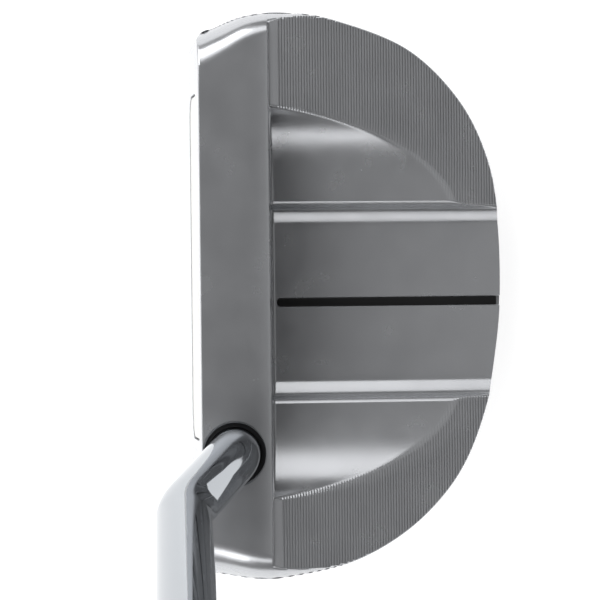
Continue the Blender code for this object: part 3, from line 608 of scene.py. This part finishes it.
for source, target in ((grain_in.outputs["Vector"], fine.inputs["Vector"]),
                       (grain_in.outputs["Scale"], fine.inputs["Scale"]),
                       (grain_in.outputs["Scale"], cloud_scale.inputs[0]),
                       (grain_in.outputs["Vector"], cloud.inputs["Vector"]),
                       (cloud_scale.outputs["Value"], cloud.inputs["Scale"]),
                       (grain_in.outputs["Strength"], grain_bump.inputs["Strength"]),
                       (fine.outputs["Fac"], grain_bump.inputs["Height"]),
                       (grain_bump.outputs["Normal"], grain_out.inputs["Normal"]),
                       (cloud.outputs["Fac"], grain_out.inputs["Cloud"]),
                       (fine.outputs["Fac"], grain_out.inputs["Fine"])):
    grain_group.links.new(source, target)


def grained(name, colour, second, roughness, spread, scale, strength, metallic=0.0,
            stretch=(1, 1, 1)):
    """A material whose colour and gloss drift between two values and whose surface has a
    fine grain; a stretch makes the grain run along an axis."""
    made = bpy.data.materials.new(name)
    made.use_nodes = True
    tree = made.node_tree
    shader = tree.nodes["Principled BSDF"]
    shader.inputs["Metallic"].default_value = metallic
    place = tree.nodes.new("ShaderNodeTexCoord")
    mapping = tree.nodes.new("ShaderNodeMapping")
    mapping.inputs["Scale"].default_value = stretch
    grain = tree.nodes.new("ShaderNodeGroup")
    grain.name = "grain"
    grain.node_tree = grain_group
    grain.inputs["Scale"].default_value = scale
    grain.inputs["Strength"].default_value = strength
    mix = tree.nodes.new("ShaderNodeMix")
    mix.name = "colours"
    mix.data_type = "RGBA"
    mix.inputs["A"].default_value = (*colour, 1)
    mix.inputs["B"].default_value = (*second, 1)
    gloss = tree.nodes.new("ShaderNodeMapRange")
    gloss.inputs["From Min"].default_value = 0.3
    gloss.inputs["From Max"].default_value = 0.7
    gloss.inputs["To Min"].default_value = roughness - spread
    gloss.inputs["To Max"].default_value = roughness + spread
    link = tree.links.new
    link(place.outputs["Object"], mapping.inputs["Vector"])
    link(mapping.outputs["Vector"], grain.inputs["Vector"])
    link(grain.outputs["Cloud"], mix.inputs["Factor"])
    link(mix.outputs["Result"], shader.inputs["Base Color"])
    link(grain.outputs["Cloud"], gloss.inputs["Value"])
    link(gloss.outputs["Result"], shader.inputs["Roughness"])
    link(grain.outputs["Normal"], shader.inputs["Normal"])
    return made


def dress(piece, finish):
    """Give a piece, or a CAD node, one material."""
    if not piece.material_slots:
        piece.data.materials.append(finish)
    for slot in piece.material_slots:
        slot.material = finish


def finish_piece(piece, finish, node, angle=32):
    """Shade and dress a fine piece, and let it stand for its CAD node."""
    pick(piece)
    bpy.ops.object.shade_smooth_by_angle(angle=math.radians(angle))
    piece.data.materials.clear()
    piece.data.materials.append(finish)
    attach(piece, "root")
    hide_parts(node)


# The head's steel is blasted: its pits scatter some light widely and leave a soft sheen.

satin_steel = grained("satin_steel", (0.52, 0.53, 0.55), (0.58, 0.59, 0.61), 0.25, 0.03,
                      5200, 0.3, metallic=0.72)
head.data.materials.clear()
head.data.materials.append(satin_steel)

# Face insert: a white cast urethane skin with a softened edge, over a core that is bonded
# into the pocket with a sheet of tape.

white_urethane = grained("white_urethane", (0.64, 0.64, 0.625), (0.70, 0.70, 0.685), 0.42,
                         0.05, 2600, 0.2)
urethane_shader = white_urethane.node_tree.nodes["Principled BSDF"]
urethane_shader.inputs["Specular IOR Level"].default_value = 0.15
insert = on_face(bevel(slab("insert_face", insert_outline(FIT_GAP), -1.3 * MM, -0.1 * MM),
                       0.2 * MM))
finish_piece(insert, white_urethane, "insert_face")
dress(nodes["insert_core"], grained("cream_urethane", (0.66, 0.60, 0.46), (0.74, 0.68, 0.54),
                                    0.6, 0.08, 1800, 0.4))
adhesive_tape = grained("adhesive_tape", (0.56, 0.50, 0.38), (0.66, 0.60, 0.48), 0.7, 0.08,
                        3000, 0.7, stretch=(1, 1, 0.15))
dress(nodes["insert_tape"], adhesive_tape)

# Sight line: black enamel flooded into the groove, a little lower than the floor, with a
# skin that has drawn in round its edges.

black_enamel = grained("black_enamel", (0.0015, 0.0015, 0.0018), (0.003, 0.003, 0.0034), 0.36,
                       0.08, 1500, 0.25)
paint = slab("alignment_paint", line_outline(LINE_WIDTH - 0.1 * MM, LINE_FRONT_Y + 0.05 * MM,
                                             28.0 * MM), -0.7 * MM, -0.15 * MM)
along_floor(bevel(paint, 0.12 * MM))
finish_piece(paint, black_enamel, "alignment_paint")

# Ring: a black moulded collar round the shaft, with fine concentric ridges on its top,
# standing in the hole's step. Below it the shaft is bonded in with epoxy and its end is
# plugged with cork.

TIP_R = 4.7 * MM
RIDGES = 4
ring_top = TOP_Z - 0.5 * MM
ring_inner, ring_outer = TIP_R + 0.06 * MM, HOLE_R - 0.05 * MM
profile = [(ring_inner, HOLE.z - RING_DEPTH + 0.2 * MM), (ring_outer, HOLE.z - RING_DEPTH + 0.2 * MM)]
for step in range(8 * RIDGES + 1):
    share = step / (8 * RIDGES)
    radius = ring_outer + (ring_inner - ring_outer) * share
    profile.append((radius, ring_top - 0.12 * MM * (1 + math.cos(2 * math.pi * RIDGES * share)) / 2))
ring_black = grained("ring_black", (0.010, 0.010, 0.011), (0.022, 0.022, 0.024), 0.38, 0.08,
                     2400, 0.3)
finish_piece(turned("shaft_ring", profile, HOLE, 128), ring_black, "shaft_ring", 60)
dress(nodes["shaft_adhesive"], grained("epoxy", (0.42, 0.25, 0.07), (0.50, 0.33, 0.11), 0.25,
                                       0.06, 900, 0.2))
dress(nodes["shaft_tip_plug"], grained("cork", (0.36, 0.22, 0.11), (0.58, 0.40, 0.23), 0.8,
                                       0.08, 1400, 1.0))

# Shaft: one chromed steel tube swept along its route, which stands straight up out of the
# hole, bends over to the front and then runs straight to the butt, growing as it goes.

LIE = math.radians(70)
SHAFT_OFFSET = 9.4 * MM
BUTT_R = 7.6 * MM
TUBE_WALL = 0.6 * MM
TIP_Z = 7.6 * MM
CLUB_LENGTH = 889.0 * MM
BENDS = (15 * MM, 18 * MM)
UP = Vector((math.cos(LIE), 0, math.sin(LIE)))


def shaft_axis(distance):
    foot = Vector((HOLE.x, HOLE.y - SHAFT_OFFSET, TOP_Z))
    return foot + UP * (distance - TOP_Z / UP.z)


def shaft_radius(length):
    return TIP_R + (BUTT_R - TIP_R) * max(length - 25 * MM, 0) / (CLUB_LENGTH - 25 * MM)


corners = [Vector((HOLE.x, HOLE.y, TIP_Z)), Vector((HOLE.x, HOLE.y, TOP_Z + 3.5 * MM)),
           shaft_axis(50 * MM), shaft_axis(CLUB_LENGTH - 3 * MM)]
route = [corners[0]]
for number, radius in enumerate(BENDS):
    before, corner, after = corners[number:number + 3]
    into, out = (corner - before).normalized(), (after - corner).normalized()
    turn = into.angle(out)
    centre = corner + (out - into).normalized() * (radius / math.cos(turn / 2))
    start = corner - into * radius * math.tan(turn / 2) - centre
    hinge = into.cross(out).normalized()
    route += [centre + Matrix.Rotation(turn * step / 28, 3, hinge) @ start for step in range(29)]
route += [route[-1].lerp(corners[-1], step / 12) for step in range(1, 13)]


def swept_tube(name, route, radii, wall, sides=80):
    """A tube along a route, its outside laid up the route and its inside back down."""
    side = Vector((1, 0, 0))
    rings = []
    for number, centre in enumerate(route):
        ahead = (route[min(number + 1, len(route) - 1)] - route[max(number - 1, 0)]).normalized()
        side = (side - ahead * side.dot(ahead)).normalized()
        rings.append((np.array(centre), np.array(side), np.array(ahead.cross(side)), radii[number]))
    angles = np.linspace(0, 2 * math.pi, sides + 1)[:, None]
    rows = [place + radius * (np.cos(angles) * across + np.sin(angles) * over)
            for place, across, over, radius in rings]
    rows += [place + (radius - wall) * (np.cos(angles) * across + np.sin(angles) * over)
             for place, across, over, radius in reversed(rings)]
    return placed_grid(name, np.array([*rows, rows[0]]), wrap=True)


lengths = np.cumsum([0.0, *((end - start).length for start, end in zip(route, route[1:]))])
shaft = swept_tube("shaft", route, [shaft_radius(length) for length in lengths], TUBE_WALL)
chrome = grained("chrome", (0.42, 0.44, 0.465), (0.45, 0.47, 0.495), 0.045, 0.015, 900, 0.004,
                 metallic=1.0)
finish_piece(shaft, chrome, "shaft", 40)

# Sole plate: brushed steel with a softened edge and four countersunk holes, on a thin
# rubber gasket.

plate = bevel(slab("sole_plate", plate_outline(0.0), 0.0, PLATE_THICK), 0.2 * MM)
for spot in screw_spots():
    cut(plate, turned("countersink", [
        (0, 3 * MM), (1.3 * MM, 3 * MM), (1.3 * MM, 1.35 * MM), (SCREW_R + 0.3 * MM, 0.35 * MM),
        (SCREW_R + 0.3 * MM, -1 * MM), (0, -1 * MM)], spot, 48))
brushed_steel = grained("brushed_steel", (0.50, 0.51, 0.53), (0.60, 0.61, 0.63), 0.30, 0.05,
                        2600, 0.5, metallic=1.0, stretch=(0.02, 1, 1))
brushed_steel.node_tree.nodes["Principled BSDF"].inputs["Anisotropic"].default_value = 0.4
finish_piece(plate, brushed_steel, "sole_plate")
dress(nodes["sole_plate_gasket"], grained("gasket_rubber", (0.02, 0.02, 0.022),
                                          (0.035, 0.035, 0.038), 0.75, 0.08, 1600, 0.6))

# Screws: four countersunk ones in black oxide, each with a hexagonal socket.


def hexagon(radius):
    return [(radius * math.cos(turn * math.pi / 3), radius * math.sin(turn * math.pi / 3))
            for turn in range(6)]


black_oxide = grained("black_oxide", (0.035, 0.035, 0.040), (0.060, 0.058, 0.060), 0.38, 0.07,
                      2200, 0.3, metallic=0.9)
for number, spot in enumerate(screw_spots(), 1):
    screw = turned(f"sole_plate_screw_{number}", [
        (0, 6.6 * MM), (0.8 * MM, 6.6 * MM), (1.0 * MM, 6.4 * MM), (1.0 * MM, 1.35 * MM),
        (2.02 * MM, 0.38 * MM), (SCREW_R, 0.3 * MM), (SCREW_R, 0.16 * MM),
        (SCREW_R - 0.08 * MM, 0.1 * MM), (0, 0.1 * MM)], spot, 64)
    socket = slab("screw_socket", hexagon(0.75 * MM), -1 * MM, 1.1 * MM)
    socket.data.transform(Matrix.Translation((*spot, 0)))
    cut(screw, socket)
    finish_piece(screw, black_oxide, f"sole_plate_screw_{number}")

# Weights: two turned steel plugs with a rounded flange and a hexagonal socket. Fine rings
# from the lathe show on their faces, and each seats on a nylon washer.

nylon = grained("nylon", (0.03, 0.03, 0.032), (0.05, 0.05, 0.053), 0.5, 0.06, 1400, 0.3)
for side, spot in WEIGHT_SPOTS.items():
    weight = turned(f"{side}_weight", [
        (0, WEIGHT_TOP_Z), (WEIGHT_BODY_R - 0.4 * MM, WEIGHT_TOP_Z),
        (WEIGHT_BODY_R, WEIGHT_TOP_Z - 0.4 * MM), (WEIGHT_BODY_R, 1.8 * MM),
        (WEIGHT_FLANGE_R, 1.8 * MM), (WEIGHT_FLANGE_R, 0.72 * MM),
        (WEIGHT_FLANGE_R - 0.12 * MM, 0.45 * MM), (WEIGHT_FLANGE_R - 0.4 * MM, 0.3 * MM),
        (4.4 * MM, 0.3 * MM), (4.25 * MM, 0.55 * MM), (3.75 * MM, 0.55 * MM),
        (3.6 * MM, 0.3 * MM), (0, 0.3 * MM)], spot, 96)
    socket = slab("weight_socket", hexagon(2.3 * MM), -1 * MM, 3.6 * MM)
    socket.data.transform(Matrix.Translation((*spot, 0)))
    cut(weight, socket)
    lathe = grained(f"{side}_lathe_steel", (0.58, 0.58, 0.59), (0.66, 0.66, 0.67), 0.26, 0.05,
                    2400, 0.2, metallic=1.0)
    tree = lathe.node_tree
    centred = tree.nodes.new("ShaderNodeMapping")
    centred.inputs["Location"].default_value = (-spot[0], -spot[1], 0)
    rings = tree.nodes.new("ShaderNodeTexWave")
    rings.wave_type = "RINGS"
    rings.rings_direction = "Z"
    rings.inputs["Scale"].default_value = 900
    rings.inputs["Distortion"].default_value = 0.6
    lathe_bump = tree.nodes.new("ShaderNodeBump")
    lathe_bump.inputs["Strength"].default_value = 0.35
    lathe_bump.inputs["Distance"].default_value = 0.02 * MM
    link = tree.links.new
    link(tree.nodes["Texture Coordinate"].outputs["Object"], centred.inputs["Vector"])
    link(centred.outputs["Vector"], rings.inputs["Vector"])
    link(rings.outputs["Fac"], lathe_bump.inputs["Height"])
    link(tree.nodes["grain"].outputs["Normal"], lathe_bump.inputs["Normal"])
    link(lathe_bump.outputs["Normal"], tree.nodes["Principled BSDF"].inputs["Normal"])
    finish_piece(weight, lathe, f"{side}_weight")
    dress(nodes[f"{side}_weight_washer"], nylon)

# Grip: a black rubber sleeve that swells to the butt, round below and flat on top for the
# thumbs, over a rubber core and a spiral of tape. Its pattern is small raised lozenges.

GRIP_LENGTH = 268.0 * MM
GRIP_BUTT_R = 15.5 * MM
GRIP_MOUTH_R = 10.6 * MM
GRIP_FLAT = (1.1 * MM, 2.9 * MM)
GRIP_END = GRIP_LENGTH - 3 * MM
GRIP_BORE = (8.35 * MM, 10.35 * MM)

grip_side = Vector((0, 1, 0)).cross(UP).normalized()
grip_place = (Matrix.Translation(shaft_axis(CLUB_LENGTH - GRIP_LENGTH))
              @ Matrix((grip_side, Vector((0, 1, 0)), UP)).transposed().to_4x4())


def sleeve(name, outside, inside, sides=112):
    """A sleeve along the grip's own axis: rows of (height, radius, flat) up the outside
    and of (height, radius) down the inside."""
    angles = np.linspace(0, 2 * math.pi, sides + 1)
    rows = []
    for height, radius, flat in outside:
        x = -smooth_min(-radius * np.cos(angles), np.full_like(angles, flat), 1.6 * MM)
        rows.append(np.stack([x, radius * np.sin(angles), np.full_like(angles, height)], axis=1))
    for height, radius in inside:
        rows.append(np.stack([radius * np.cos(angles), radius * np.sin(angles),
                              np.full_like(angles, height)], axis=1))
    made = placed_grid(name, np.array([*rows, rows[0]]), wrap=True)
    made.data.transform(grip_place)
    return made


outside = []
for share in np.concatenate([[0, 0.0008, 0.0022, 0.004], np.linspace(0.01, 0.99, 70),
                             [0.996, 0.9978, 0.9992, 1]]):
    growth = float(blend(share, 0.0, 0.9))
    radius = GRIP_MOUTH_R + (GRIP_BUTT_R - GRIP_MOUTH_R) * growth
    near_end = min(share, 1 - share) * GRIP_END
    turn_in = 0.6 * MM * (1 - math.sqrt(1 - max(1 - near_end / (1 * MM), 0) ** 2))
    flat = radius - (GRIP_FLAT[0] + (GRIP_FLAT[1] - GRIP_FLAT[0]) * growth)
    outside.append((share * GRIP_END, radius - turn_in, flat - turn_in))
skin = sleeve("grip_skin", outside, [(GRIP_END, GRIP_BORE[1]), (0, GRIP_BORE[0])])
grip_rubber = grained("grip_rubber", (0.022, 0.022, 0.024), (0.040, 0.040, 0.043), 0.62, 0.07,
                      1800, 0.5)
tree = grip_rubber.node_tree
lean = tree.nodes.new("ShaderNodeMapping")
lean.inputs["Rotation"].default_value = (0, LIE - math.pi / 2, 0)
waves = []
for turn in (-1, 1):
    slant = tree.nodes.new("ShaderNodeMapping")
    slant.inputs["Rotation"].default_value = (turn * math.radians(35), 0, 0)
    wave = tree.nodes.new("ShaderNodeTexWave")
    wave.bands_direction = "Z"
    wave.inputs["Scale"].default_value = 190
    tree.links.new(lean.outputs["Vector"], slant.inputs["Vector"])
    tree.links.new(slant.outputs["Vector"], wave.inputs["Vector"])
    waves.append(wave)
lozenge = tree.nodes.new("ShaderNodeMath")
lozenge.operation = "MINIMUM"
grip_bump = tree.nodes.new("ShaderNodeBump")
grip_bump.inputs["Strength"].default_value = 0.7
grip_bump.inputs["Distance"].default_value = 0.35 * MM
link = tree.links.new
link(tree.nodes["Texture Coordinate"].outputs["Object"], lean.inputs["Vector"])
link(waves[0].outputs["Fac"], lozenge.inputs[0])
link(waves[1].outputs["Fac"], lozenge.inputs[1])
link(lozenge.outputs["Value"], grip_bump.inputs["Height"])
link(tree.nodes["grain"].outputs["Normal"], grip_bump.inputs["Normal"])
link(grip_bump.outputs["Normal"], tree.nodes["Principled BSDF"].inputs["Normal"])
finish_piece(skin, grip_rubber, "grip_skin", 45)
dress(nodes["grip_underlisting"], grained("underlisting", (0.03, 0.03, 0.033),
                                          (0.05, 0.05, 0.053), 0.8, 0.06, 1200, 0.6))
dress(nodes["grip_tape"], adhesive_tape)

# Collar and cap: smooth black rubber ends. The collar tapers on to the shaft, and the cap
# is rounded over and has a small vent at its middle.

grip_trim = grained("grip_trim", (0.016, 0.016, 0.017), (0.028, 0.028, 0.030), 0.45, 0.06, 1600,
                    0.3)
shaft_low = shaft_radius(CLUB_LENGTH - GRIP_LENGTH) + SOLE_GAP
collar_r = GRIP_MOUTH_R - 0.6 * MM
profile = [(shaft_low, -0.4 * MM), (collar_r - 0.15 * MM, -0.4 * MM), (collar_r, -0.55 * MM),
           *[(collar_r - 1.6 * MM * t * t, (-1.6 - 2.2 * t) * MM) for t in np.linspace(0, 1, 9)],
           (collar_r - 2.0 * MM, -4.0 * MM), (shaft_low, -4.0 * MM)]
collar = turned("grip_collar", profile, (0, 0), 96)
collar.data.transform(grip_place)
finish_piece(collar, grip_trim, "grip_collar", 50)

cap_r = GRIP_BUTT_R - 0.6 * MM
low, high = GRIP_END + 0.3 * MM, GRIP_END + 3 * MM
outside = [(low, cap_r, cap_r - GRIP_FLAT[1])]
for turn in np.radians(np.linspace(0, 90, 10)):
    inset = 1.2 * MM * (1 - math.cos(turn))
    outside.append((high - 1.2 * MM * (1 - math.sin(turn)), cap_r - inset,
                    cap_r - GRIP_FLAT[1] - inset))
for share in (0.75, 0.5, 0.3):
    outside.append((high, cap_r * share, cap_r * share))
cap = sleeve("grip_cap", outside, [(high, 1.5 * MM), (high - 0.3 * MM, 1.2 * MM), (low, 1.2 * MM)])
finish_piece(cap, grip_trim, "grip_cap", 50)
